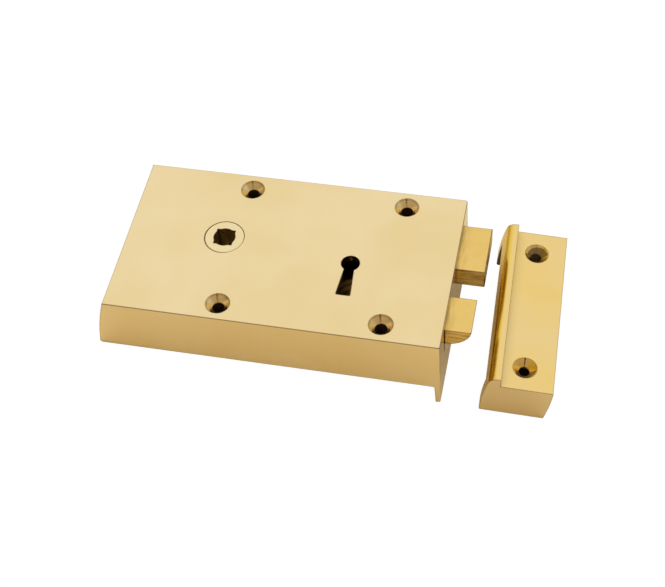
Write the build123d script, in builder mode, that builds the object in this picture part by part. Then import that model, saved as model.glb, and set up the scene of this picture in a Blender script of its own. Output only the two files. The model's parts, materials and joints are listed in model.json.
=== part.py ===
from build123d import *
from math import asin, atan2, cos, degrees, pi, radians, sin, sqrt
import os

# A cast brass rim lock and its box keep, in millimetres.
# The origin is where the spindle's axis meets the back plane. +X runs to the forend,
# +Y up the door and +Z out of the face, towards the room.

# Case
case_length = 150.0
case_height = 84.0
case_depth = 28.0
face_wall = 3.6
side_wall = 4.0
forend_wall = 4.0
rear_swell = 5.4
rear_belly = 0.75
rear_rounding = 0.9
side_draft = 1.1
forend_draft = 0.75
lip_drop = 11.2
lip_root = 2.8
lip_tip = 2.1
lip_fillet = 0.8
tip_rounding = 0.6
far_corner_rounding = 1.2
near_corner_rounding = 0.7
edge_rounding = 0.45
cavity_rounding = 3.0

# Places on the face, from the forend's outer face and from the case's middle line
spindle_backset = 105.5
spindle_lift = 3.6
key_backset = 46.1
key_drop = 2.5

# Fixing holes of the case
fixing_inset = 26.8
fixing_pitch_x = 72.5
fixing_pitch_y = 67.0
fixing_radius = 2.75
fixing_sink_radius = 5.5
fixing_sink_angle = 82.0
fixing_boss_radius = 5.6

# Keyhole and wards
key_round_radius = 4.2
key_neck_width = 4.5
key_foot_width = 6.6
key_reach = 18.0
key_foot_rounding = 0.6
ward_radius = 8.2
ward_wall = 1.2
ward_height = 4.0
ward_gap = 7.4

# Back plate and its screws
plate_thick = 2.0
plate_seat = 2.5
plate_gap = 0.15
plate_screw_radius = 1.5
plate_screw_head = 2.9
plate_screw_length = 9.0
plate_screw_slot = 0.8
plate_post_radius = 3.4
plate_post_inset = 7.5
plate_post_bury = 0.6

# Follower
hub_radius = 9.1
hub_back_radius = 7.6
hub_collar_radius = 10.1
hub_collar_thick = 2.6
hub_chamfer = 0.3
spindle_square = 8.5
spindle_round = 4.95
arm_radius = 21.0
arm_width = 6.6
arm_tip_rounding = 2.2
arm_thick = 5.0
turn_gap = 0.1
end_gap = 0.2

# Clearances of the sliding and the fitted pieces
slide_gap = 0.25
bolt_top_gap = 0.2
fit_gap = 0.02

# Latch bolt
latch_width = 18.3
latch_offset = 20.3
latch_thick = 9.8
latch_reach = 11.8
latch_nose_radius = 12.0
latch_near_rounding = 0.9
latch_far_rounding = 3.2
latch_shoulder = 8.5
latch_neck_length = 8.5
latch_neck_near = 27.4
latch_neck_far = 13.0
latch_slot_width = 1.7
latch_slot_drop = 3.8

# Latch rod, collar, spring and bridge
rod_radius = 2.2
rod_offset = 24.1
rod_socket = 8.0
pin_radius = 1.0
pin_place = 4.5
collar_radius = 3.6
collar_thick = 2.5
spring_length = 22.0
spring_wire_radius = 0.45
spring_radius = 3.0
spring_turns = 6
spring_wire_sides = 6
spring_seat_gap = 0.05
bridge_place = 88.5
bridge_thick = 3.0
bridge_wall_gap = 2.1
bridge_spring_gap = 1.35
bridge_rise = 4.6
bridge_foot_length = 8.5
bridge_foot_thick = 2.0
bridge_screw_radius = 1.3
bridge_screw_head = 2.3
bridge_screw_head_thick = 1.2
bridge_screw_bite = 2.2

# Latch yoke and its nut
yoke_gap = 1.4
yoke_bar = 4.0
yoke_thick = 4.0
yoke_touch = 0.3
yoke_lug_inner = 11.6
yoke_lug_outer = 19.6
yoke_block_width = 8.8
yoke_block_thick = 7.0
rod_end_radius = 1.5
rod_end_length = 0.8
nut_radius = 3.6
nut_thick = 2.4

# Dead bolt
bolt_low = 4.35
bolt_width = 25.7
bolt_thick = 10.7
bolt_reach = 13.1
bolt_travel = 13.4
bolt_shoulder = 7.0
bolt_neck_length = 12.0
bolt_neck_inset = 4.85
bolt_neck_width = 18.0
bolt_edge = 0.6
bolt_tip_rounding = 2.2

# Tail of the dead bolt, its rivets and its guide
tail_thick = 4.0
tail_lap = 9.5
tail_end = 80.0
rivet_radius = 1.6
rivet_pitch = 9.0
talon_width = 15.0
talon_depth = 6.6
slot_gap = 0.15
stud_radius = 2.0
stud_place = 73.0
stud_head_radius = 3.2
stud_head_thick = 1.2
spigot_depth = 2.0
washer_radius = 4.0
washer_thick = 1.4

# Leaf spring that holds the dead bolt in or out
notch_radius = 2.0
notch_depth = 1.0
notch_rest = 0.15
leaf_thick = 0.6
leaf_width = 5.0
leaf_bend = 1.0
bump_place = 62.0
bump_run = 4.0
bump_rise = 2.4
leaf_root_place = 88.0
post_radius = 2.6
post_bolt_gap = 1.2
post_spigot_radius = 1.6
leaf_slot_gap = 0.05

# Keep
keep_length = 87.6
keep_width = 29.6
keep_foot_width = 27.6
keep_body = 19.8
keep_total = 24.7
keep_lip_width = 6.6
keep_lip_foot = 0.9
keep_lip_lean = 1.9
keep_lip_belly = 0.75
keep_lip_rounding = 4.2
keep_back_belly = 0.4
keep_foot_rounding = 0.9
keep_edge = 0.4
keep_end_wall = 5.7
keep_back_wall = 4.0
keep_top_wall = 4.0
keep_hole_radius = 2.4
keep_sink_radius = 5.4
keep_sink_angle = 90.0
keep_hole_inset = 16.3
keep_hole_pitch = 64.2

# The keep's place beside the lock, on the surface that both rest on
keep_apart = 16.35
keep_shift = 0.7
keep_yaw = 1.9

# Planes and middle lines worked out from the sizes above
forend_x = spindle_backset
lip_x = forend_x + forend_draft
rear_x = forend_x - case_length
mid_y = -spindle_lift
ceiling = case_depth - face_wall
cavity_rear = rear_x + side_wall
cavity_front = forend_x - forend_wall
cavity_mid_x = (cavity_rear + cavity_front) / 2
cavity_length = cavity_front - cavity_rear
cavity_height = case_height - 2 * side_wall
pocket_length = cavity_length + plate_seat
pocket_height = cavity_height + 2 * plate_seat
pocket_mid_x = cavity_front - pocket_length / 2

key_x = forend_x - key_backset
key_y = mid_y - key_drop
fixing_mid_x = forend_x - fixing_inset - fixing_pitch_x / 2
post_y = cavity_height / 2 - plate_post_radius + plate_post_bury
rear_post_y = cavity_height / 2 - plate_post_inset
plate_points = [
    (cavity_front - plate_post_inset, mid_y - post_y),
    (cavity_front - plate_post_inset, mid_y + post_y),
    (cavity_rear + plate_post_inset, mid_y - rear_post_y),
    (cavity_rear + plate_post_inset, mid_y + rear_post_y),
]

bolt_top = ceiling - bolt_top_gap
latch_y = mid_y - latch_offset
latch_low = bolt_top - latch_thick
latch_tip_x = forend_x + latch_reach
latch_shoulder_x = forend_x - latch_shoulder
latch_neck_x = latch_shoulder_x - latch_neck_length
rod_y = mid_y - rod_offset
rod_z = bolt_top - latch_thick / 2
bridge_x = forend_x - bridge_place
bridge_low_y = mid_y - cavity_height / 2 + bridge_wall_gap
bridge_high_y = rod_y + bridge_rise
foot_high_y = rod_y - spring_radius - spring_wire_radius - bridge_spring_gap
bridge_screw_point = (bridge_x + bridge_foot_length / 2, (bridge_low_y + foot_high_y) / 2)
collar_x = bridge_x + spring_length
yoke_x = -hub_collar_radius - yoke_gap

dead_low = bolt_top - bolt_thick
dead_y = mid_y + bolt_low + bolt_width / 2
dead_shoulder_x = forend_x - bolt_shoulder
dead_neck_x = dead_shoulder_x - bolt_neck_length
tail_y = mid_y + bolt_low + bolt_neck_inset + bolt_neck_width / 2
tail_top_y = tail_y + bolt_neck_width / 2
tail_low = bolt_top - tail_thick
tail_front_x = dead_neck_x + tail_lap
tail_rear_x = forend_x - tail_end
stud_x = forend_x - stud_place
post_x = forend_x - leaf_root_place
post_mid_y = tail_top_y + post_bolt_gap + post_radius

rest_tilt = degrees(atan2(lip_drop, lip_x - rear_x + rear_swell))
rest_plane = Plane(Location((lip_x, mid_y, -lip_drop), (0, rest_tilt, 0)))
keep_plane = Plane(rest_plane * Location((keep_apart, keep_shift, 0), (0, 0, keep_yaw)))
keep_section = Plane(keep_plane.origin, x_dir=keep_plane.x_dir, z_dir=-keep_plane.y_dir)

upwards = (Align.CENTER, Align.CENTER, Align.MIN)
downwards = (Align.CENTER, Align.CENTER, Align.MAX)

os.makedirs("parts", exist_ok=True)


# Outline of the keyhole: a round for the stem over a foot that widens downwards
with BuildSketch() as keyhole:
    neck_y = key_y - sqrt(key_round_radius**2 - (key_neck_width / 2) ** 2)
    foot_y = key_y - key_reach
    with BuildLine():
        Polyline(
            (key_x - key_neck_width / 2, key_y),
            (key_x - key_neck_width / 2, neck_y),
            (key_x - key_foot_width / 2, foot_y),
            (key_x + key_foot_width / 2, foot_y),
            (key_x + key_neck_width / 2, neck_y),
            (key_x + key_neck_width / 2, key_y),
            close=True,
        )
    make_face()
    fillet(keyhole.vertices().group_by(Axis.Y)[0], key_foot_rounding)
    with Locations((key_x, key_y)):
        Circle(key_round_radius)


# Middle line of the leaf spring, from its post to its bump, which sits in a notch of the tail
bump_x = forend_x - bump_place
bump_y = tail_top_y - notch_depth + notch_rest + leaf_thick / 2
with BuildSketch() as leaf_outline:
    with BuildLine() as leaf_line:
        FilletPolyline(
            (post_x, post_mid_y),
            (bump_x - bump_run, bump_y + bump_rise),
            (bump_x, bump_y),
            (bump_x + bump_run, bump_y + bump_rise),
            radius=leaf_bend,
        )
    trace(line_width=leaf_thick)


# Case and forend in one casting: its side profile meets its end profile
with BuildPart() as case:
    with BuildSketch(Plane.XZ):
        with BuildLine():
            rear_foot = (rear_x - rear_swell, rear_rounding)
            rear_middle = (rear_x - rear_swell / 2 - rear_belly, case_depth / 2)
            Polyline(
                rear_foot,
                (rear_x - rear_swell + rear_rounding, 0),
                (lip_x - lip_root, 0),
                (lip_x - lip_tip, -lip_drop),
                (lip_x, -lip_drop),
                (forend_x, case_depth),
                (rear_x, case_depth),
            )
            ThreePointArc((rear_x, case_depth), rear_middle, rear_foot)
        make_face()
    extrude(amount=case_height, both=True)
    with BuildSketch(Plane.YZ):
        with BuildLine():
            half_top = case_height / 2
            half_low = half_top + side_draft * (case_depth + lip_drop) / case_depth
            Polyline(
                (mid_y - half_top, case_depth),
                (mid_y - half_low, -lip_drop),
                (mid_y + half_low, -lip_drop),
                (mid_y + half_top, case_depth),
                close=True,
            )
        make_face()
    extrude(amount=2 * case_length, both=True, mode=Mode.INTERSECT)
    far_corner = (forend_x, mid_y + case_height / 2, case_depth / 2)
    fillet(case.edges().sort_by_distance(far_corner)[0], far_corner_rounding)
    near_corner = (forend_x, mid_y - case_height / 2, case_depth / 2)
    fillet(case.edges().sort_by_distance(near_corner)[0], near_corner_rounding)
    root_middle = (lip_x - lip_root, mid_y, 0)
    fillet(case.edges().filter_by(Axis.Y).sort_by_distance(root_middle)[0], lip_fillet)
    fillet(case.faces().sort_by(Axis.Z)[0].edges().filter_by(Axis.Y), tip_rounding)
    fillet(case.faces().sort_by(Axis.Z)[-1].edges(), edge_rounding)

    # Cavity, with its bosses and posts, and the seat of the back plate
    with BuildSketch():
        with Locations((cavity_mid_x, mid_y)):
            RectangleRounded(cavity_length, cavity_height, cavity_rounding)
    extrude(amount=ceiling, mode=Mode.SUBTRACT)
    with BuildSketch():
        with Locations((fixing_mid_x, mid_y)):
            with GridLocations(fixing_pitch_x, fixing_pitch_y, 2, 2):
                Circle(fixing_boss_radius)
        with Locations(*plate_points):
            Circle(plate_post_radius)
    extrude(amount=ceiling)
    with BuildSketch():
        with Locations((pocket_mid_x, mid_y)):
            RectangleRounded(pocket_length, pocket_height, cavity_rounding)
    extrude(amount=plate_thick, mode=Mode.SUBTRACT)

    # Holes in the face
    with Locations((fixing_mid_x, mid_y, case_depth)):
        with GridLocations(fixing_pitch_x, fixing_pitch_y, 2, 2):
            CounterSinkHole(
                fixing_radius, fixing_sink_radius, counter_sink_angle=fixing_sink_angle
            )
    with BuildSketch(Plane.XY.offset(ceiling)):
        Circle(hub_radius + turn_gap)
        add(keyhole.sketch)
    extrude(amount=case_depth - ceiling, mode=Mode.SUBTRACT)

    # Blind holes for the screws, the stud and the post
    with Locations(*[(x, y, plate_thick) for x, y in plate_points]):
        Cylinder(
            plate_screw_radius + fit_gap, plate_screw_length, align=upwards, mode=Mode.SUBTRACT
        )
    with Locations((stud_x, tail_y, ceiling)):
        Cylinder(stud_radius + fit_gap, spigot_depth, align=upwards, mode=Mode.SUBTRACT)
    with Locations((post_x, post_mid_y, ceiling)):
        Cylinder(post_spigot_radius + fit_gap, spigot_depth, align=upwards, mode=Mode.SUBTRACT)
    with Locations((*bridge_screw_point, ceiling)):
        Cylinder(
            bridge_screw_radius + fit_gap, bridge_screw_bite, align=upwards, mode=Mode.SUBTRACT
        )

    # Mortises in the forend
    with BuildSketch(Plane.YZ.offset(cavity_front)):
        with Locations((latch_y, (latch_low - slide_gap + ceiling) / 2)):
            Rectangle(latch_width + 2 * slide_gap, ceiling - latch_low + slide_gap)
        with Locations((latch_y - latch_width / 2, latch_low - latch_slot_drop)):
            Rectangle(
                latch_slot_width,
                ceiling - latch_low + latch_slot_drop,
                align=(Align.MAX, Align.MIN),
            )
        with Locations((dead_y, (dead_low + bolt_top) / 2)):
            RectangleRounded(
                bolt_width + 2 * slide_gap, bolt_thick + 2 * bolt_top_gap, bolt_edge
            )
    extrude(amount=forend_wall + forend_draft, mode=Mode.SUBTRACT)
case.part.label = "case"
export_step(case.part, "parts/case.step")


# Back plate, let in flush with the case's back
with BuildPart() as back_plate:
    with BuildSketch():
        with Locations((pocket_mid_x, mid_y)):
            RectangleRounded(
                pocket_length - 2 * plate_gap, pocket_height - 2 * plate_gap, cavity_rounding
            )
        Circle(hub_back_radius + turn_gap, mode=Mode.SUBTRACT)
        add(keyhole.sketch, mode=Mode.SUBTRACT)
        with Locations((fixing_mid_x, mid_y)):
            with GridLocations(fixing_pitch_x, fixing_pitch_y, 2, 2):
                Circle(fixing_radius, mode=Mode.SUBTRACT)
    extrude(amount=plate_thick)
    with Locations(*[Plane((x, y, 0), z_dir=(0, 0, -1)) for x, y in plate_points]):
        CounterSinkHole(
            plate_screw_radius + fit_gap, plate_screw_head + fit_gap, counter_sink_angle=90
        )
back_plate.part.label = "back_plate"
export_step(back_plate.part, "parts/back_plate.step")


# Slotted countersunk screws of the back plate
with BuildPart() as back_plate_screws:
    head_depth = plate_screw_head - plate_screw_radius
    with Locations(*[(x, y, 0) for x, y in plate_points]):
        Cone(plate_screw_head, plate_screw_radius, head_depth, align=upwards)
        Cylinder(plate_screw_radius, plate_screw_length, align=upwards)
        Box(
            2 * plate_screw_head,
            plate_screw_slot,
            head_depth / 2,
            align=upwards,
            mode=Mode.SUBTRACT,
        )
back_plate_screws.part.label = "back_plate_screws"
export_step(back_plate_screws.part, "parts/back_plate_screws.step")


# Follower: the hub turns in the face and in the back plate, and its two arms push the yoke
with BuildPart() as follower:
    with BuildSketch():
        Circle(hub_back_radius)
    extrude(amount=case_depth)
    with BuildSketch(Plane.XY.offset(plate_thick + end_gap)):
        Circle(hub_radius)
    extrude(amount=case_depth - plate_thick - end_gap)
    chamfer(follower.edges().group_by(Axis.Z)[-1], hub_chamfer)
    with BuildSketch(Plane.XY.offset(ceiling - end_gap - hub_collar_thick)):
        Circle(hub_collar_radius)
    extrude(amount=hub_collar_thick)
    with BuildSketch(Plane.XY.offset(rod_z - arm_thick / 2)) as arms:
        Rectangle(arm_width, 2 * arm_radius)
        fillet(arms.vertices(), arm_tip_rounding)
    extrude(amount=arm_thick)
    with BuildSketch():
        Rectangle(spindle_square, spindle_square)
        Circle(spindle_round)
    extrude(amount=case_depth, mode=Mode.SUBTRACT)
follower.part.label = "follower"
export_step(follower.part, "parts/follower.step")


# Ring wards round the key, one under the face and one on the back plate
with BuildSketch() as ward:
    with Locations((key_x, key_y)):
        Circle(ward_radius + ward_wall)
        Circle(ward_radius, mode=Mode.SUBTRACT)
        Rectangle(
            ward_gap,
            2 * (ward_radius + ward_wall),
            align=(Align.CENTER, Align.MAX),
            mode=Mode.SUBTRACT,
        )

with BuildPart() as front_ward:
    with BuildSketch(Plane.XY.offset(ceiling - ward_height)):
        add(ward.sketch)
    extrude(amount=ward_height)
front_ward.part.label = "front_ward"
export_step(front_ward.part, "parts/front_ward.step")

with BuildPart() as back_ward:
    with BuildSketch(Plane.XY.offset(plate_thick)):
        add(ward.sketch)
    extrude(amount=ward_height)
back_ward.part.label = "back_ward"
export_step(back_ward.part, "parts/back_ward.step")


# Latch bolt: its plan, with a neck behind the shoulder, meets its side with the round nose
with BuildPart() as latch_bolt:
    with BuildSketch() as latch_plan:
        with Locations((latch_shoulder_x, latch_y)):
            Rectangle(
                latch_tip_x - latch_shoulder_x, latch_width, align=(Align.MIN, Align.CENTER)
            )
        tip_corners = latch_plan.vertices().group_by(Axis.X)[-1].sort_by(Axis.Y)
        fillet(tip_corners[0], latch_near_rounding)
        fillet(tip_corners[-1], latch_far_rounding)
        with Locations((latch_neck_x, mid_y - latch_neck_near)):
            Rectangle(
                latch_neck_length,
                latch_neck_near - latch_neck_far,
                align=(Align.MIN, Align.MIN),
            )
    extrude(amount=case_depth)
    with BuildSketch(Plane.XZ):
        nose_z = latch_low + latch_nose_radius
        nose_angle = degrees(asin((nose_z - bolt_top) / latch_nose_radius))
        nose_x = latch_tip_x - latch_nose_radius * cos(radians(nose_angle))
        with BuildLine():
            nose = CenterArc((nose_x, nose_z), latch_nose_radius, -90, 90 - nose_angle)
            Polyline(nose @ 1, (latch_neck_x, bolt_top), (latch_neck_x, latch_low), nose @ 0)
        make_face()
    extrude(amount=case_height, both=True, mode=Mode.INTERSECT)
    with Locations(Plane((latch_neck_x, rod_y, rod_z), z_dir=(-1, 0, 0))):
        Hole(rod_radius + fit_gap, rod_socket)
    with Locations((latch_neck_x + pin_place, rod_y, bolt_top)):
        Hole(pin_radius + fit_gap, latch_thick)
latch_bolt.part.label = "latch_bolt"
export_step(latch_bolt.part, "parts/latch_bolt.step")


# Latch rod, with a thinner end through the yoke and its nut
rod_front_x = latch_neck_x + rod_socket
rod_rear_x = yoke_x - yoke_bar - nut_thick - rod_end_length
with BuildPart() as latch_rod:
    with BuildSketch(Plane.YZ.offset(yoke_x)):
        with Locations((rod_y, rod_z)):
            Circle(rod_radius)
    extrude(amount=rod_front_x - yoke_x)
    with BuildSketch(Plane.YZ.offset(rod_rear_x)):
        with Locations((rod_y, rod_z)):
            Circle(rod_end_radius)
    extrude(amount=yoke_x - rod_rear_x)
    with Locations((latch_neck_x + pin_place, rod_y, rod_z + rod_radius)):
        Hole(pin_radius + fit_gap, 2 * rod_radius)
latch_rod.part.label = "latch_rod"
export_step(latch_rod.part, "parts/latch_rod.step")

with BuildPart() as latch_pin:
    with BuildSketch(Plane.XY.offset(latch_low)):
        with Locations((latch_neck_x + pin_place, rod_y)):
            Circle(pin_radius)
    extrude(amount=latch_thick)
latch_pin.part.label = "latch_pin"
export_step(latch_pin.part, "parts/latch_pin.step")

with BuildPart() as latch_collar:
    with BuildSketch(Plane.YZ.offset(collar_x)):
        with Locations((rod_y, rod_z)):
            Circle(collar_radius)
            Circle(rod_radius + fit_gap, mode=Mode.SUBTRACT)
    extrude(amount=collar_thick)
latch_collar.part.label = "latch_collar"
export_step(latch_collar.part, "parts/latch_collar.step")


# Latch spring: a wire coiled about the rod, between the bridge and the collar. It is six-sided
# in place of round, and each half turn of the coil is two arcs that meet on a common tangent.
spring_inset = spring_wire_radius + spring_seat_gap
spring_pitch = (spring_length - 2 * spring_inset) / spring_turns


def coil_point(turns):
    angle = 2 * pi * turns
    along = bridge_x + spring_inset + spring_pitch * turns
    return Vector(along, rod_y + spring_radius * cos(angle), rod_z + spring_radius * sin(angle))


def coil_direction(turns):
    angle = 2 * pi * turns
    around = 2 * pi * spring_radius
    return Vector(spring_pitch, -around * sin(angle), around * cos(angle)).normalized()


with BuildPart() as latch_spring:
    with BuildLine() as coil:
        for half_turn in range(2 * spring_turns):
            start = coil_point(half_turn / 2)
            end = coil_point(half_turn / 2 + 0.5)
            leaving = coil_direction(half_turn / 2)
            arriving = coil_direction(half_turn / 2 + 0.5)
            chord = end - start
            slant = chord.dot(leaving + arriving)
            spread = 2 * (1 - leaving.dot(arriving))
            reach = (sqrt(slant**2 + spread * chord.dot(chord)) - slant) / spread
            middle = (start + end + (leaving - arriving) * reach) / 2
            first_arc = TangentArc(start, middle, tangent=leaving)
            TangentArc(middle, end, tangent=first_arc % 1)
    with BuildSketch(Plane(coil_point(0), z_dir=coil_direction(0))):
        RegularPolygon(spring_wire_radius, spring_wire_sides)
    sweep()
latch_spring.part.label = "latch_spring"
export_step(latch_spring.part, "parts/latch_spring.step")


# Spring bridge: a foot on the face's inside and a plate that the rod runs through
with BuildPart() as spring_bridge:
    with BuildSketch(Plane.YZ.offset(bridge_x - bridge_thick)):
        with Locations((bridge_low_y, ceiling)):
            Rectangle(
                bridge_high_y - bridge_low_y,
                ceiling - rod_z + bridge_rise,
                align=(Align.MIN, Align.MAX),
            )
        with Locations((rod_y, rod_z)):
            Circle(rod_radius + slide_gap, mode=Mode.SUBTRACT)
    extrude(amount=bridge_thick)
    with BuildSketch(Plane.XY.offset(ceiling - bridge_foot_thick)):
        with Locations((bridge_x, bridge_low_y)):
            Rectangle(
                bridge_foot_length, foot_high_y - bridge_low_y, align=(Align.MIN, Align.MIN)
            )
        with Locations(bridge_screw_point):
            Circle(bridge_screw_radius + fit_gap, mode=Mode.SUBTRACT)
    extrude(amount=bridge_foot_thick)
spring_bridge.part.label = "spring_bridge"
export_step(spring_bridge.part, "parts/spring_bridge.step")

with BuildPart() as bridge_screw:
    with Locations((*bridge_screw_point, ceiling - bridge_foot_thick)):
        Cylinder(bridge_screw_head, bridge_screw_head_thick, align=downwards)
        Cylinder(bridge_screw_radius, bridge_foot_thick + bridge_screw_bite, align=upwards)
bridge_screw.part.label = "bridge_screw"
export_step(bridge_screw.part, "parts/bridge_screw.step")


# Latch yoke: a bar behind the hub with a lug for each arm and a block for the rod
with BuildPart() as latch_yoke:
    lug_x = -arm_width / 2 - yoke_touch
    block_low_y = rod_y - yoke_block_width / 2
    with BuildSketch(Plane.XY.offset(rod_z - yoke_thick / 2)):
        with Locations((yoke_x, block_low_y)):
            Rectangle(yoke_bar, yoke_lug_outer - block_low_y, align=(Align.MAX, Align.MIN))
        with Locations((yoke_x, yoke_lug_outer), (yoke_x, -yoke_lug_inner)):
            Rectangle(
                lug_x - yoke_x, yoke_lug_outer - yoke_lug_inner, align=(Align.MIN, Align.MAX)
            )
    extrude(amount=yoke_thick)
    with BuildSketch(Plane.YZ.offset(yoke_x - yoke_bar)):
        with Locations((rod_y, rod_z)):
            Rectangle(yoke_block_width, yoke_block_thick)
    extrude(amount=yoke_bar)
    with Locations(Plane((yoke_x, rod_y, rod_z), z_dir=(1, 0, 0))):
        Hole(rod_end_radius + fit_gap, yoke_bar)
latch_yoke.part.label = "latch_yoke"
export_step(latch_yoke.part, "parts/latch_yoke.step")

with BuildPart() as yoke_nut:
    with BuildSketch(Plane.YZ.offset(yoke_x - yoke_bar - nut_thick)):
        with Locations((rod_y, rod_z)):
            RegularPolygon(nut_radius, 6)
            Circle(rod_end_radius + fit_gap, mode=Mode.SUBTRACT)
    extrude(amount=nut_thick)
yoke_nut.part.label = "yoke_nut"
export_step(yoke_nut.part, "parts/yoke_nut.step")


# Dead bolt: a block with a neck behind its shoulder, stepped for the tail
rivet_points = [
    (dead_neck_x + tail_lap / 2, tail_y - rivet_pitch / 2),
    (dead_neck_x + tail_lap / 2, tail_y + rivet_pitch / 2),
]
with BuildPart() as dead_bolt:
    with BuildSketch(Plane.XY.offset(dead_low)) as bolt_plan:
        with Locations((dead_shoulder_x, dead_y)):
            Rectangle(
                forend_x + bolt_reach - dead_shoulder_x,
                bolt_width,
                align=(Align.MIN, Align.CENTER),
            )
        tip_corners = bolt_plan.vertices().group_by(Axis.X)[-1].sort_by(Axis.Y)
        fillet(tip_corners[0], bolt_edge)
        fillet(tip_corners[-1], bolt_tip_rounding)
    extrude(amount=bolt_thick)
    flat_edges = dead_bolt.faces().filter_by(Axis.Z).edges()
    fillet(flat_edges.filter_by(lambda e: e.center().X > dead_shoulder_x + bolt_edge), bolt_edge)
    with BuildSketch(Plane.XY.offset(dead_low)):
        with Locations((dead_neck_x, tail_y)):
            Rectangle(bolt_neck_length, bolt_neck_width, align=(Align.MIN, Align.CENTER))
    extrude(amount=bolt_thick)
    with BuildSketch(Plane.XY.offset(tail_low)):
        with Locations((dead_neck_x, tail_y)):
            Rectangle(tail_lap, bolt_neck_width, align=(Align.MIN, Align.CENTER))
    extrude(amount=tail_thick, mode=Mode.SUBTRACT)
    with Locations(*[(x, y, tail_low) for x, y in rivet_points]):
        Hole(rivet_radius + fit_gap, bolt_thick - tail_thick)
dead_bolt.part.label = "dead_bolt"
export_step(dead_bolt.part, "parts/dead_bolt.step")


# Tail of the dead bolt: the key throws it by the talon, the stud guides it by the slot
with BuildPart() as bolt_tail:
    with BuildSketch(Plane.XY.offset(tail_low)):
        with Locations((tail_rear_x, tail_y)):
            Rectangle(
                tail_front_x - tail_rear_x, bolt_neck_width, align=(Align.MIN, Align.CENTER)
            )
        with Locations((key_x, tail_y - bolt_neck_width / 2)):
            Rectangle(
                talon_width, talon_depth, align=(Align.MIN, Align.MIN), mode=Mode.SUBTRACT
            )
        with Locations((stud_x + bolt_travel / 2, tail_y)):
            SlotCenterToCenter(
                bolt_travel, 2 * (stud_radius + slot_gap), mode=Mode.SUBTRACT
            )
        notch_y = tail_top_y + notch_radius - notch_depth
        with Locations((bump_x, notch_y), (bump_x + bolt_travel, notch_y)):
            Circle(notch_radius, mode=Mode.SUBTRACT)
        with Locations(*rivet_points):
            Circle(rivet_radius + fit_gap, mode=Mode.SUBTRACT)
    extrude(amount=tail_thick)
bolt_tail.part.label = "bolt_tail"
export_step(bolt_tail.part, "parts/bolt_tail.step")

with BuildPart() as bolt_rivets:
    with BuildSketch(Plane.XY.offset(dead_low)):
        with Locations(*rivet_points):
            Circle(rivet_radius)
    extrude(amount=bolt_thick)
bolt_rivets.part.label = "bolt_rivets"
export_step(bolt_rivets.part, "parts/bolt_rivets.step")


# Guide stud, let into the face's inside, and the washer that holds the tail up
washer_top = tail_low - end_gap
stud_low = washer_top - washer_thick - stud_head_thick
with BuildPart() as guide_stud:
    with BuildSketch(Plane.XY.offset(stud_low)):
        with Locations((stud_x, tail_y)):
            Circle(stud_head_radius)
    extrude(amount=stud_head_thick)
    with BuildSketch(Plane.XY.offset(stud_low)):
        with Locations((stud_x, tail_y)):
            Circle(stud_radius)
    extrude(amount=ceiling + spigot_depth - stud_low)
guide_stud.part.label = "guide_stud"
export_step(guide_stud.part, "parts/guide_stud.step")

with BuildPart() as guide_washer:
    with BuildSketch(Plane.XY.offset(washer_top - washer_thick)):
        with Locations((stud_x, tail_y)):
            Circle(washer_radius)
            Circle(stud_radius + fit_gap, mode=Mode.SUBTRACT)
    extrude(amount=washer_thick)
guide_washer.part.label = "guide_washer"
export_step(guide_washer.part, "parts/guide_washer.step")


# Leaf spring and the slotted post that grips it
leaf_low = bolt_top - leaf_width
with BuildPart() as detent_spring:
    with BuildSketch(Plane.XY.offset(leaf_low)):
        add(leaf_outline.sketch)
    extrude(amount=leaf_width)
detent_spring.part.label = "detent_spring"
export_step(detent_spring.part, "parts/detent_spring.step")

with BuildPart() as detent_post:
    with Locations((post_x, post_mid_y, ceiling)):
        Cylinder(post_radius, leaf_width + 2 * bolt_top_gap, align=downwards)
        Cylinder(post_spigot_radius, spigot_depth, align=upwards)
    with BuildSketch(Plane.XY.offset(leaf_low - bolt_top_gap)):
        trace(leaf_line.line, line_width=leaf_thick + 2 * leaf_slot_gap)
    extrude(amount=leaf_width + bolt_top_gap, mode=Mode.SUBTRACT)
detent_post.part.label = "detent_post"
export_step(detent_post.part, "parts/detent_post.step")


# Keep: a box open underneath and towards the lock, with a raised strike edge
with BuildPart() as keep:
    with BuildSketch(keep_section) as keep_outline:
        lip_middle = ((keep_lip_lean - keep_lip_foot) / 2 - keep_lip_belly, keep_total / 2)
        back_middle = ((keep_width + keep_foot_width) / 2 + keep_back_belly, keep_body / 2)
        with BuildLine():
            ThreePointArc((-keep_lip_foot, 0), lip_middle, (keep_lip_lean, keep_total))
            Polyline(
                (keep_lip_lean, keep_total),
                (keep_lip_width, keep_total),
                (keep_lip_width, keep_body),
                (keep_width, keep_body),
            )
            ThreePointArc((keep_width, keep_body), back_middle, (keep_foot_width, 0))
            Line((keep_foot_width, 0), (-keep_lip_foot, 0))
        make_face()
        for corner, rounding in (
            ((keep_lip_lean, keep_total), keep_lip_rounding),
            ((-keep_lip_foot, 0), keep_foot_rounding),
            ((keep_lip_width, keep_total), keep_edge),
            ((keep_lip_width, keep_body), keep_edge),
            ((keep_width, keep_body), keep_edge),
        ):
            fillet(keep_outline.vertices().sort_by_distance(corner)[0], rounding)
    extrude(amount=keep_length / 2, both=True)
    with BuildSketch(keep_plane):
        with Locations((keep_foot_width - keep_back_wall, 0)):
            Rectangle(
                2 * keep_width,
                keep_length - 2 * keep_end_wall,
                align=(Align.MAX, Align.CENTER),
            )
    extrude(amount=keep_body - keep_top_wall, mode=Mode.SUBTRACT)
    hole_y = keep_hole_pitch / 2
    with Locations(
        *[keep_plane * Location((keep_hole_inset, y, keep_body)) for y in (-hole_y, hole_y)]
    ):
        CounterSinkHole(
            keep_hole_radius, keep_sink_radius, keep_body, counter_sink_angle=keep_sink_angle
        )
keep.part.label = "keep"
export_step(keep.part, "parts/keep.step")
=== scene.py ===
# A polished brass rim lock with its box keep, on a pale sheet under soft light.
import json
import math

import bpy
from mathutils import Matrix, Vector


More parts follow.
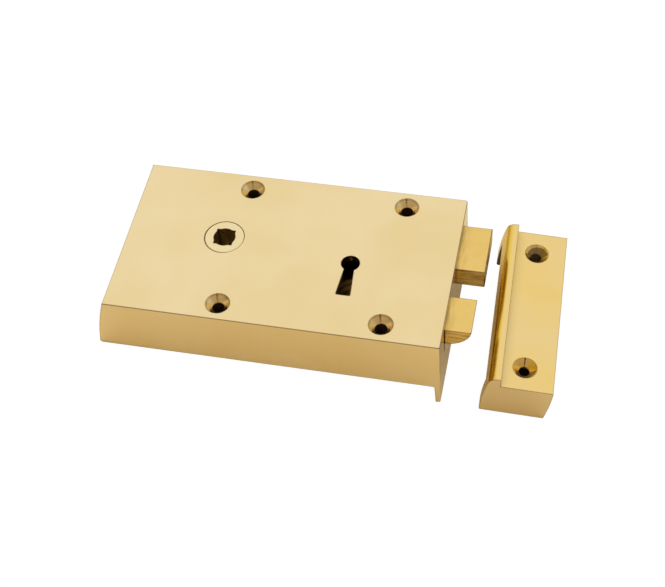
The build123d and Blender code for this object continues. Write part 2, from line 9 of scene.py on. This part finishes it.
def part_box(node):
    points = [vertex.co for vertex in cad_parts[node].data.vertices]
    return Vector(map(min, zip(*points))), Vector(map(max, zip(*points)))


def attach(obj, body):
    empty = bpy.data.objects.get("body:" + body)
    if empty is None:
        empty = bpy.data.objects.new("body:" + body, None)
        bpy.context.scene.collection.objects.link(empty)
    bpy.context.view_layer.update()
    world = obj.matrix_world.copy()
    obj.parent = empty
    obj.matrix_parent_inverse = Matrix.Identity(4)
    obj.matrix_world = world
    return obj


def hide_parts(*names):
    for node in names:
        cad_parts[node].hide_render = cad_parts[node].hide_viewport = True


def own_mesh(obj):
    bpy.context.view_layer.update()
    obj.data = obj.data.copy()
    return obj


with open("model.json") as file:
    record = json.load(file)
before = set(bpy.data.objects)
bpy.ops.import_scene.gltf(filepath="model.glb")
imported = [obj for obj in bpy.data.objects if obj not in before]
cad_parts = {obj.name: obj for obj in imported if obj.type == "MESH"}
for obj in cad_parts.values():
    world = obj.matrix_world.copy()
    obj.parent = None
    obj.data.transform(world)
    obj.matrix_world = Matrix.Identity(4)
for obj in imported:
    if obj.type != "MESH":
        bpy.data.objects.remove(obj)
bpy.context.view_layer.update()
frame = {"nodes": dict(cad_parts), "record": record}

case_low, case_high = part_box("case")
keep_low, keep_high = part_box("keep")
bolt_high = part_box("dead_bolt")[1]

# Camera: it looks down on the face from in front, a little from the forend's side
camera_target = Vector((0.054885, -0.023949, case_high.z))
camera_distance = 0.617149
camera_azimuth = math.radians(15.6126)
camera_elevation = math.radians(52.388)
camera_roll = math.radians(-5.2145)
camera_lens_mm = 76.49
camera_near = 0.01
sensor_width_mm = 36.0

# Floor: the sheet that the forend's lip and the rear lower edge of the case stand on
floor_size = 6.0
floor_gap = 0.00002
lip_zone = case_high.x - 0.006
paper_reach = 0.13
paper_fade = 0.13
paper_warm = (1.00, 0.895, 0.665, 1.0)
table_dark = (0.10, 0.08, 0.065, 1.0)
sheet_white = 0.985
sheet_grey = (0.05, 0.05, 0.05, 1.0)
white = (1.0, 1.0, 1.0, 1.0)

# Painted shade: the sheet's glow is turned down where it lies well under the case and under the keep
case_shade_inset = 0.012
keep_shade_inset = 0.006
shade_edge = 0.006

# Polish: the broad change of tone, the duller patches and the fine marks of the mop or the lathe
tone_scale = 22.0
tone_span = (0.30, 0.72)
patch_span = (0.45, 0.75)
gloss_span = (0.25, 0.75)
brush_scales = (30.0, 3000.0, 3000.0)
lathe_scale = 5200.0
mark_span = (0.3, 0.7)
mark_rough = (-0.025, 0.035)
mark_depth = 0.000012
mark_strength = 0.35
softened_edge = 0.00018
skin_scale = 900.0
skin_strength = 0.8

# A painted dark line on an edge, standing in for the dark surroundings reflected in its rounding; its
# span compares the surface with a rounded edge
edge_radius = 0.0007
edge_span = (0.985, 0.90)
painted_edge_dark = 0.75

# The painted dark line on the rounded rim of a face, standing in for dark surroundings reflected
# there, weaker at the holes; its spans are of upward slopes
rim_depth = 0.0007
rim_edge = 0.0002
rim_flat_span = (0.99, 0.94)
rim_steep_span = (0.15, 0.25)
painted_rim_dark = 0.48
rim_inset = 0.0026
inner_rim = 0.45

# The painted dark line round the hub, which is dark on one side only, as round a hub just off the
# middle of its hole
hub_centre = (0.0, 0.0, 0.0)
hub_rim = 0.0115
square_rim = 0.0075
line_side = (-0.87, -0.49, 0.0)
line_span = (-0.001, 0.008)

# Painted shade in hollows, by the share of open air round a point: a cut is duller and a little
# darker, and a shut hollow is dark
hollow_reach = 0.007
cut_span = (0.90, 0.60)
cut_dark = 0.15
cut_rough = 0.13
shut_span = (0.24, 0.08)
shut_dull = 0.7

# Painted shade in the corner between two pieces, by the share of open air round a point
corner_reach = 0.004
corner_shade_span = (0.72, 0.40)

# The inside of the case, which is left as it was cast and is painted with shade
core_top = case_high.z - 0.0034
core_inset = 0.0050
core_edge = 0.0002

# The keep: painted shade in its hollow under the face, a painted gold reflection on the face of its
# strike edge, and its two duller ends
keep_middle = tuple((keep_low + keep_high) / 2)
cavity_top = keep_high.z - 0.0065
cavity_edge = 0.0005
cavity_dark = 0.75
strike_span = (-0.02, -0.40)
strike_rough = 0.16
ends_span = (0.7, 0.95)

# Grime on the bolts, streaks on their sides and bands at the forend, and a painted dark reflection on
# each bolt's end, darker towards its foot
grime_and_reflection_brown = (0.13, 0.055, 0.018, 1.0)
side_span = (0.6, 0.9)
side_scales = (110.0, 900.0, 900.0)
side_streaks = (0.35, 0.75)
side_share = 0.60
mouth = case_high.x
mouth_reach = 0.005
mouth_scales = (700.0, 150.0, 150.0)
mouth_streaks = (0.35, 0.65)
mouth_share = 0.20
bolt_end = bolt_high.x - 0.0012
bolt_end_edge = 0.0008
bolt_end_span = (0.3, 0.7)
bolt_end_fade = 0.006
bolt_end_top = 0.15
bolt_end_foot = 0.85

# Light: a white tent overhead and behind, and the dim warm room in front of it
tent_top = (0.93, 0.91, 0.95, 1.0)
tent_horizon = (0.50, 0.43, 0.36, 1.0)
tent_horizon_height = 0.04
tent_top_height = 0.60
front = (0.0, -1.0, 0.0)
room_floor = (0.08, 0.05, 0.03, 1.0)
room_wall = (0.52, 0.39, 0.26, 1.0)
room_wall_height = 0.42
room_top_height = 0.60
room_end_height = 0.82
room_side = -0.30
room_middle = 0.45

# The gap in the tent's front, dark behind the camera
slit_azimuth = math.radians(14.0)
slit_half_width = 0.07
slit_softness = 0.05
slit_low_height = 0.05
slit_high_height = 0.56
slit_end_height = 0.66
slit_front = 0.1
slit_dark = (0.05, 0.032, 0.02, 1.0)

# Sockets of the Mix node, by place: its factor and its two colours, and the colour that it gives
mix_factor = 0
mix_first = 6
mix_second = 7
mix_result = 2


def node(tree, kind, inputs=None, **settings):
    """A new shader node, with values or links for its inputs and its other settings."""
    made = tree.nodes.new(kind)
    for name, value in settings.items():
        setattr(made, name, value)
    for key, value in (inputs or {}).items():
        socket = made.inputs[key]
        if isinstance(value, bpy.types.NodeSocket):
            tree.links.new(value, socket)
        else:
            socket.default_value = value
    return made


def maths(tree, operation, first, second=0.0, clamp=False):
    """One sum on one or two numbers."""
    made = node(tree, "ShaderNodeMath", {0: first, 1: second}, operation=operation, use_clamp=clamp)
    return made.outputs[0]


def times(tree, first, second):
    """The product of two numbers."""
    return maths(tree, "MULTIPLY", first, second)


def larger(tree, first, second):
    """The larger of two numbers."""
    return maths(tree, "MAXIMUM", first, second)


def ramp(tree, value, low, high, start=0.0, end=1.0):
    """A smooth step from start to end as value goes from low to high, the two ends of a span."""
    made = node(
        tree,
        "ShaderNodeMapRange",
        {"Value": value, "From Min": low, "From Max": high, "To Min": start, "To Max": end},
        interpolation_type="SMOOTHSTEP",
    )
    return made.outputs["Result"]


def vectors(tree, operation, first, second):
    """One sum on two vectors that gives a vector."""
    made = node(tree, "ShaderNodeVectorMath", {0: first, 1: second}, operation=operation)
    return made.outputs["Vector"]


def dot(tree, first, second):
    """How far the first vector reaches along the second."""
    made = node(tree, "ShaderNodeVectorMath", {0: first, 1: second}, operation="DOT_PRODUCT")
    return made.outputs["Value"]


def along(tree, vector, axis):
    """The part of a vector along one axis."""
    return node(tree, "ShaderNodeSeparateXYZ", {"Vector": vector}).outputs[axis]


def facing(tree):
    """The direction that the surface faces, in the piece's own frame."""
    return node(tree, "ShaderNodeTexCoord").outputs["Normal"]


def mix_colour(tree, factor, first, second):
    """A colour between first and second."""
    inputs = {mix_factor: factor, mix_first: first, mix_second: second}
    return node(tree, "ShaderNodeMix", inputs, data_type="RGBA").outputs[mix_result]


def noise(tree, vector, scale, detail, roughness):
    """Values of a noise texture, around 0.5."""
    inputs = {"Vector": vector, "Scale": scale, "Detail": detail, "Roughness": roughness}
    return node(tree, "ShaderNodeTexNoise", inputs).outputs["Fac"]


def stretched_noise(tree, place, scales, detail, roughness):
    """A noise with its own scale along each axis, drawn out along the axis of least scale."""
    return noise(tree, vectors(tree, "MULTIPLY", place, scales), 1.0, detail, roughness)


def radius_of(tree, place, centre):
    """Distance from an upright axis through centre."""
    flat = vectors(tree, "MULTIPLY", vectors(tree, "SUBTRACT", place, centre), (1.0, 1.0, 0.0))
    return node(tree, "ShaderNodeVectorMath", {0: flat}, operation="LENGTH").outputs["Value"]


def within(tree, place, low, high, inset, soft):
    """1 inside the plan of a box that is drawn in by inset, and 0 outside it."""
    share = 1.0
    for axis in "XY":
        at = along(tree, place, axis)
        first = getattr(low, axis.lower()) + inset
        last = getattr(high, axis.lower()) - inset
        share = times(tree, ramp(tree, at, first, first + soft), share)
        share = times(tree, ramp(tree, at, last, last - soft), share)
    return share


def in_core(tree, place):
    """1 on the unpolished inside of the case, between its back and its face, which is painted with
    shade.
    """
    height = along(tree, place, "Z")
    between = times(tree, ramp(tree, height, core_top, core_top - core_edge),
                    ramp(tree, height, 0.0, core_edge))
    return times(tree, between, within(tree, place, case_low, case_high, core_inset, core_edge))


def in_cavity(tree, place):
    """1 on the walls of the keep that face its middle, under its face, which are painted with shade.
    """
    away = dot(tree, vectors(tree, "SUBTRACT", place, keep_middle), facing(tree))
    under = ramp(tree, along(tree, place, "Z"), cavity_top, cavity_top - core_edge)
    return times(tree, ramp(tree, away, 0.0, -cavity_edge), under)


def hub_share(tree, place):
    """1, but for the ring round the square hole: there it is 1 only on the side with the painted dark
    line.
    """
    radius = radius_of(tree, place, hub_centre)
    side = ramp(tree, dot(tree, place, line_side), *line_span)
    outside = larger(tree, ramp(tree, radius, hub_rim, hub_rim + rim_edge),
                     ramp(tree, radius, square_rim, square_rim - rim_edge))
    return larger(tree, outside, side)


def painted_edge_line(tree):
    """1 on the sharp edges of a piece, where the painted dark line goes."""
    rounded = node(tree, "ShaderNodeBevel", {"Radius": edge_radius}, samples=6).outputs["Normal"]
    plain = node(tree, "ShaderNodeNewGeometry").outputs["Normal"]
    return ramp(tree, dot(tree, rounded, plain), *edge_span)


def painted_rim_line(tree, place, top):
    """The share of the painted dark line on the rounded edges just under the height top."""
    upright = maths(tree, "ABSOLUTE", along(tree, facing(tree), "Z"))
    height = along(tree, place, "Z")
    rounded = times(tree, ramp(tree, upright, *rim_flat_span), ramp(tree, upright, *rim_steep_span))
    band = times(tree, ramp(tree, height, top - rim_depth - rim_edge, top - rim_depth),
                 ramp(tree, height, top + rim_edge, top))
    rim = times(tree, times(tree, rounded, band), hub_share(tree, place))
    inner = within(tree, place, case_low, case_high, rim_inset, rim_edge)
    rim = times(tree, rim, ramp(tree, inner, 0.0, 1.0, 1.0, inner_rim))
    return times(tree, rim, painted_rim_dark)


def grime_and_end_reflection(tree, place, colour):
    """The grime on a bolt, streaks on its sides and at the forend, and a painted dark reflection on
    its end.
    """
    normal = facing(tree)
    at = along(tree, place, "X")
    streaks = stretched_noise(tree, place, side_scales, detail=4.0, roughness=0.6)
    side = ramp(tree, maths(tree, "ABSOLUTE", along(tree, normal, "Y")), *side_span)
    side = times(tree, side, ramp(tree, streaks, *side_streaks, 0.0, side_share))
    bands = stretched_noise(tree, place, mouth_scales, detail=3.0, roughness=0.5)
    near = ramp(tree, at, mouth + mouth_reach, mouth)
    near = times(tree, near, ramp(tree, bands, *mouth_streaks, 0.0, mouth_share))
    # Painted dark reflection on the bolt's end, darker towards its foot
    end = times(tree, ramp(tree, at, bolt_end, bolt_end + bolt_end_edge),
                ramp(tree, along(tree, normal, "X"), *bolt_end_span))
    end = times(tree, end, ramp(tree, along(tree, place, "Z"), bolt_high.z,
                                bolt_high.z - bolt_end_fade, bolt_end_top, bolt_end_foot))
    return mix_colour(tree, larger(tree, larger(tree, side, near), end), colour, grime_and_reflection_brown)


def relief(tree, place, lines, grain):
    """The surface's direction, with its edges softened and its marks and cast skin raised."""
    softened = node(tree, "ShaderNodeBevel", {"Radius": softened_edge}, samples=4).outputs["Normal"]
    marks = {"Strength": mark_strength, "Distance": mark_depth, "Height": lines, "Normal": softened}
    normal = node(tree, "ShaderNodeBump", marks).outputs["Normal"]
    if grain:
        cast = noise(tree, place, skin_scale, detail=5.0, roughness=0.7)
        skin = {"Strength": skin_strength, "Distance": grain, "Height": cast, "Normal": normal}
        normal = node(tree, "ShaderNodeBump", skin).outputs["Normal"]
    return normal


def metal(name, base, other, deep, gloss, strokes=brush_scales, turned=False, grain=0.0, patina=0.0,
          patches=95.0, core=False, cavity=False, slides=False, strike=None, ends=None, rim_top=None,
          round_hub=False, corner_shade_share=0.60):
    """A metal surface.

    base and other are the clean colours that it varies between, deep is its colour in hollows and
    that of its patina, its painted shade and its painted dark lines, and gloss the lowest and highest
    roughness. strokes gives the scales of its brush marks along X, Y and Z, and turned stands for
    lathe marks round the hub instead. grain is the height of a cast skin, patina the share of its dull
    patches and patches their scale. core paints shade on the unpolished inside of the case, cavity
    paints shade in the hollow of the keep, and slides adds a bolt's grime and the painted dark
    reflection on its end. strike is the colour of the painted reflection on a strike edge's face and
    ends that of its piece's two ends. rim_top is the height of a face with a painted dark rim,
    round_hub is for the pieces that meet at the hub's edge, and corner_shade_share is the share of
    painted shade in its corners.
    """
    material = bpy.data.materials.new(name)
    material.use_nodes = True
    tree = material.node_tree
    tree.nodes.clear()
    place = node(tree, "ShaderNodeTexCoord").outputs["Object"]

    # Broad change of tone, dull patches, and the marks of the polishing
    tone = noise(tree, place, tone_scale, detail=3.0, roughness=0.55)
    smudge = noise(tree, place, patches, detail=4.0, roughness=0.6)
    if turned:
        radius = radius_of(tree, place, hub_centre)
        rings = {"W": radius, "Scale": lathe_scale, "Detail": 2.0, "Roughness": 0.6}
        lines = node(tree, "ShaderNodeTexNoise", rings, noise_dimensions="1D").outputs["Fac"]
    else:
        lines = stretched_noise(tree, place, strokes, detail=3.0, roughness=0.65)
    colour = mix_colour(tree, ramp(tree, tone, *tone_span), base, other)
    if strike:
        normal = facing(tree)
        # Painted reflection: a saturated gold on the strike edge's face, by the way it faces
        painted_strike_reflection = ramp(tree, along(tree, normal, "X"), *strike_span)
        colour = mix_colour(tree, painted_strike_reflection, colour, strike)
        end_face = ramp(tree, maths(tree, "ABSOLUTE", along(tree, normal, "Y")), *ends_span)
        colour = mix_colour(tree, end_face, colour, ends)
    if slides:
        colour = grime_and_end_reflection(tree, place, colour)
    if patina:
        patch = ramp(tree, smudge, *patch_span)
        colour = mix_colour(tree, times(tree, patch, patina), colour, deep)

    # Painted dark lines on the edges and rims, standing in for the dark surroundings that they reflect
    edge = painted_edge_line(tree)
    # The painted dark edge line round the hub only on its one dark side
    if round_hub:
        edge = times(tree, edge, hub_share(tree, place))
    colour = mix_colour(tree, times(tree, edge, painted_edge_dark), colour, deep)
    if rim_top is not None:
        # Painted dark rim line just under the top of the face
        colour = mix_colour(tree, painted_rim_line(tree, place, rim_top), colour, deep)

    # Painted shade in the corners between pieces and in the hollows
    corner = node(tree, "ShaderNodeAmbientOcclusion", {"Distance": corner_reach}, samples=8)
    corner_shade = ramp(tree, corner.outputs["AO"], *corner_shade_span, 0.0, corner_shade_share)
    colour = mix_colour(tree, corner_shade, colour, deep)
    # Painted shade: cuts a little darker and shut hollows dark, by the open air round a point
    hollow = node(tree, "ShaderNodeAmbientOcclusion", {"Distance": hollow_reach}, samples=8,
                  only_local=True)
    cut = ramp(tree, hollow.outputs["AO"], *cut_span)
    colour = mix_colour(tree, times(tree, cut, cut_dark), colour, deep)
    shut = ramp(tree, hollow.outputs["AO"], *shut_span)
    if core:
        shut = larger(tree, shut, in_core(tree, place))
    if cavity:
        shut = larger(tree, shut, times(tree, in_cavity(tree, place), cavity_dark))
    colour = mix_colour(tree, shut, colour, deep)

    # Gloss: duller in patches, on some marks, in cuts and on a strike edge's face
    rough = ramp(tree, smudge, *gloss_span, *gloss)
    rough = maths(tree, "ADD", rough, ramp(tree, lines, *mark_span, *mark_rough))
    rough = maths(tree, "ADD", rough, times(tree, cut, cut_rough), clamp=True)
    if strike:
        rough = maths(tree, "ADD", rough, times(tree, painted_strike_reflection, strike_rough), clamp=True)
    metallic = maths(tree, "SUBTRACT", 1.0, times(tree, shut, shut_dull))

    normal = relief(tree, place, lines, grain)
    shader = node(
        tree,
        "ShaderNodeBsdfPrincipled",
        {"Base Color": colour, "Metallic": metallic, "Roughness": rough, "Normal": normal},
    )
    node(tree, "ShaderNodeOutputMaterial", {"Surface": shader.outputs["BSDF"]})
    return material


# Finishes, one for each material slot of the record
brass_deep = (0.070, 0.034, 0.020, 1.0)
steel_deep = (0.030, 0.026, 0.022, 1.0)
recipes = {
    "case_brass": dict(
        base=(0.905, 0.745, 0.405, 1.0), other=(0.87, 0.695, 0.335, 1.0), deep=brass_deep,
        gloss=(0.13, 0.19), core=True, rim_top=case_high.z, round_hub=True,
    ),
    "hub_brass": dict(
        base=(0.91, 0.765, 0.42, 1.0), other=(0.895, 0.74, 0.385, 1.0), deep=brass_deep,
        gloss=(0.16, 0.22), turned=True, round_hub=True,
    ),
    "bolt_brass": dict(
        base=(0.89, 0.64, 0.20, 1.0), other=(0.85, 0.59, 0.165, 1.0), deep=brass_deep,
        gloss=(0.13, 0.21), strokes=(2600.0, 40.0, 2600.0), patina=0.05, patches=210.0,
        slides=True, rim_top=bolt_high.z,
    ),
    "keep_brass": dict(
        base=(0.885, 0.645, 0.195, 1.0), other=(0.885, 0.67, 0.275, 1.0), deep=brass_deep,
        gloss=(0.07, 0.13), strokes=(2600.0, 35.0, 2600.0), strike=(0.88, 0.61, 0.09, 1.0),
        ends=(0.815, 0.65, 0.34, 1.0), corner_shade_share=0.15, cavity=True,
    ),
    "plate_brass": dict(
        base=(0.78, 0.60, 0.28, 1.0), other=(0.70, 0.53, 0.24, 1.0), deep=(0.22, 0.14, 0.06, 1.0),
        gloss=(0.30, 0.42), patina=0.45,
    ),
    "inner_brass": dict(
        base=(0.66, 0.48, 0.21, 1.0), other=(0.58, 0.41, 0.17, 1.0), deep=(0.18, 0.11, 0.05, 1.0),
        gloss=(0.38, 0.55), grain=0.00006, patina=0.6,
    ),
    "screw_brass": dict(
        base=(0.82, 0.63, 0.29, 1.0), other=(0.76, 0.57, 0.25, 1.0), deep=brass_deep,
        gloss=(0.24, 0.34), patina=0.2,
    ),
    "steel": dict(
        base=(0.50, 0.49, 0.47, 1.0), other=(0.43, 0.42, 0.40, 1.0), deep=steel_deep,
        gloss=(0.28, 0.40), patina=0.35,
    ),
    "spring_steel": dict(
        base=(0.36, 0.36, 0.38, 1.0), other=(0.30, 0.30, 0.32, 1.0), deep=steel_deep,
        gloss=(0.26, 0.36), patina=0.3,
    ),
}
finishes = {name: metal(name, **recipe) for name, recipe in recipes.items()}
slot_of = {part["node"]: part["material_slot"] for part in frame["record"]["subparts"]}
for name, piece in frame["nodes"].items():
    piece.data.materials.clear()
    piece.data.materials.append(finishes[slot_of[name]])


def make_spring():
    """The latch's coil spring as a piece of its own, carried with the case."""
    coil = frame["nodes"]["latch_spring"]
    spring = bpy.data.objects.new("latch_spring_coil", coil.data.copy())
    bpy.context.scene.collection.objects.link(spring)
    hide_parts("latch_spring")
    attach(spring, "case")
    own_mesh(spring)


def make_sheet(middle):
    """White to the camera, with painted shade under the pieces, but to the metal warm paper on a dark
    table.
    """
    material = bpy.data.materials.new("sheet")
    material.use_nodes = True
    tree = material.node_tree
    tree.nodes.clear()
    place = node(tree, "ShaderNodeTexCoord").outputs["Object"]
    far = ramp(tree, radius_of(tree, place, tuple(middle)), paper_reach, paper_reach + paper_fade)
    paper = mix_colour(tree, far, paper_warm, table_dark)
    seen_by_metal = node(tree, "ShaderNodeBsdfDiffuse", {"Color": paper})
    # Painted shade: the sheet's glow is turned down under the case and under the keep
    under_case = within(tree, place, case_low, case_high, case_shade_inset, shade_edge)
    under_keep = within(tree, place, keep_low, keep_high, keep_shade_inset, shade_edge)
    bright = maths(tree, "SUBTRACT", sheet_white, larger(tree, under_case, under_keep), clamp=True)
    glow = node(tree, "ShaderNodeEmission", {"Color": white, "Strength": bright})
    cloth = node(tree, "ShaderNodeBsdfDiffuse", {"Color": sheet_grey})
    seen_by_camera = node(tree, "ShaderNodeAddShader",
                          {0: glow.outputs["Emission"], 1: cloth.outputs["BSDF"]})
    either = node(tree, "ShaderNodeMixShader",
                  {0: node(tree, "ShaderNodeLightPath").outputs["Is Camera Ray"],
                   1: seen_by_metal.outputs["BSDF"],
                   2: seen_by_camera.outputs["Shader"]})
    node(tree, "ShaderNodeOutputMaterial", {"Surface": either.outputs["Shader"]})
    return material


def make_floor():
    """A sheet that leans with the lock, from the rear lower edge of its case to the forend's lip."""
    lip = [corner.co for corner in frame["nodes"]["case"].data.vertices if corner.co.x > lip_zone]
    tilt = math.atan(max(-corner.z / (corner.x - case_low.x) for corner in lip))
    across = Vector((math.cos(tilt), 0.0, -math.sin(tilt)))
    away = Vector((0.0, 1.0, 0.0))
    upright = Vector((math.sin(tilt), 0.0, math.cos(tilt)))
    rear = Vector((case_low.x, 0.0, 0.0)) - upright * floor_gap
    middle = rear + across * (case_high.x / 2 - case_low.x)
    half = floor_size / 2
    sides = ((-1, -1), (1, -1), (1, 1), (-1, 1))
    corners = [middle + across * half * x + away * half * y for x, y in sides]
    mesh = bpy.data.meshes.new("floor")
    mesh.from_pydata([tuple(corner) for corner in corners], [], [(0, 1, 2, 3)])
    mesh.materials.append(make_sheet(middle))
    floor = bpy.data.objects.new("floor", mesh)
    bpy.context.scene.collection.objects.link(floor)


def make_light():
    """A white tent, the room in front of it and the slit that the camera looks through.

    Their heights are the upward part of a direction, from 0 at the horizon to 1 overhead.
    """
    world = bpy.data.worlds.new("tent")
    bpy.context.scene.world = world
    world.use_nodes = True
    tree = world.node_tree
    tree.nodes.clear()
    way = node(tree, "ShaderNodeTexCoord").outputs["Generated"]
    height = along(tree, way, "Z")
    tent_share = ramp(tree, height, tent_horizon_height, tent_top_height)
    tent = mix_colour(tree, tent_share, tent_horizon, tent_top)
    room = mix_colour(tree, ramp(tree, height, 0.0, room_wall_height), room_floor, room_wall)
    room = mix_colour(tree, ramp(tree, height, room_top_height, room_end_height), room, tent_top)
    forward = ramp(tree, dot(tree, way, front), room_side, room_middle)
    cloth = mix_colour(tree, forward, tent, room)

    towards = (math.sin(slit_azimuth), -math.cos(slit_azimuth), 0.0)
    sideways = (math.cos(slit_azimuth), math.sin(slit_azimuth), 0.0)
    off = maths(tree, "ABSOLUTE", dot(tree, way, sideways))
    narrow = ramp(tree, off, slit_half_width + slit_softness, slit_half_width)
    ahead = ramp(tree, dot(tree, way, towards), 0.0, slit_front)
    above = ramp(tree, height, 0.0, slit_low_height)
    below = ramp(tree, height, slit_end_height, slit_high_height)
    slit = times(tree, times(tree, narrow, ahead), times(tree, above, below))
    cloth = mix_colour(tree, slit, cloth, slit_dark)

    lit = node(tree, "ShaderNodeBackground", {"Color": cloth, "Strength": 1.0})
    plain = node(tree, "ShaderNodeBackground", {"Color": white, "Strength": 1.0})
    either = node(tree, "ShaderNodeMixShader",
                  {0: node(tree, "ShaderNodeLightPath").outputs["Is Camera Ray"],
                   1: lit.outputs["Background"],
                   2: plain.outputs["Background"]})
    node(tree, "ShaderNodeOutputWorld", {"Surface": either.outputs["Shader"]})


def make_camera():
    """The camera, placed by its target, distance, azimuth, elevation and roll."""
    outward = Vector((
        math.sin(camera_azimuth) * math.cos(camera_elevation),
        -math.cos(camera_azimuth) * math.cos(camera_elevation),
        math.sin(camera_elevation),
    ))
    level = Vector((0.0, 0.0, 1.0)).cross(outward).normalized()
    upward = outward.cross(level)
    right = level * math.cos(camera_roll) + upward * math.sin(camera_roll)
    up = upward * math.cos(camera_roll) - level * math.sin(camera_roll)
    place = camera_target + outward * camera_distance
    data = bpy.data.cameras.new("camera")
    data.lens = camera_lens_mm
    data.sensor_width = sensor_width_mm
    data.clip_start = camera_near
    camera = bpy.data.objects.new("camera", data)
    bpy.context.scene.collection.objects.link(camera)
    turned = Matrix((right, up, outward)).transposed().to_4x4()
    camera.matrix_world = Matrix.Translation(place) @ turned
    bpy.context.scene.camera = camera


make_spring()
make_camera()
make_floor()
make_light()
bpy.context.scene.view_settings.view_transform = "Standard"
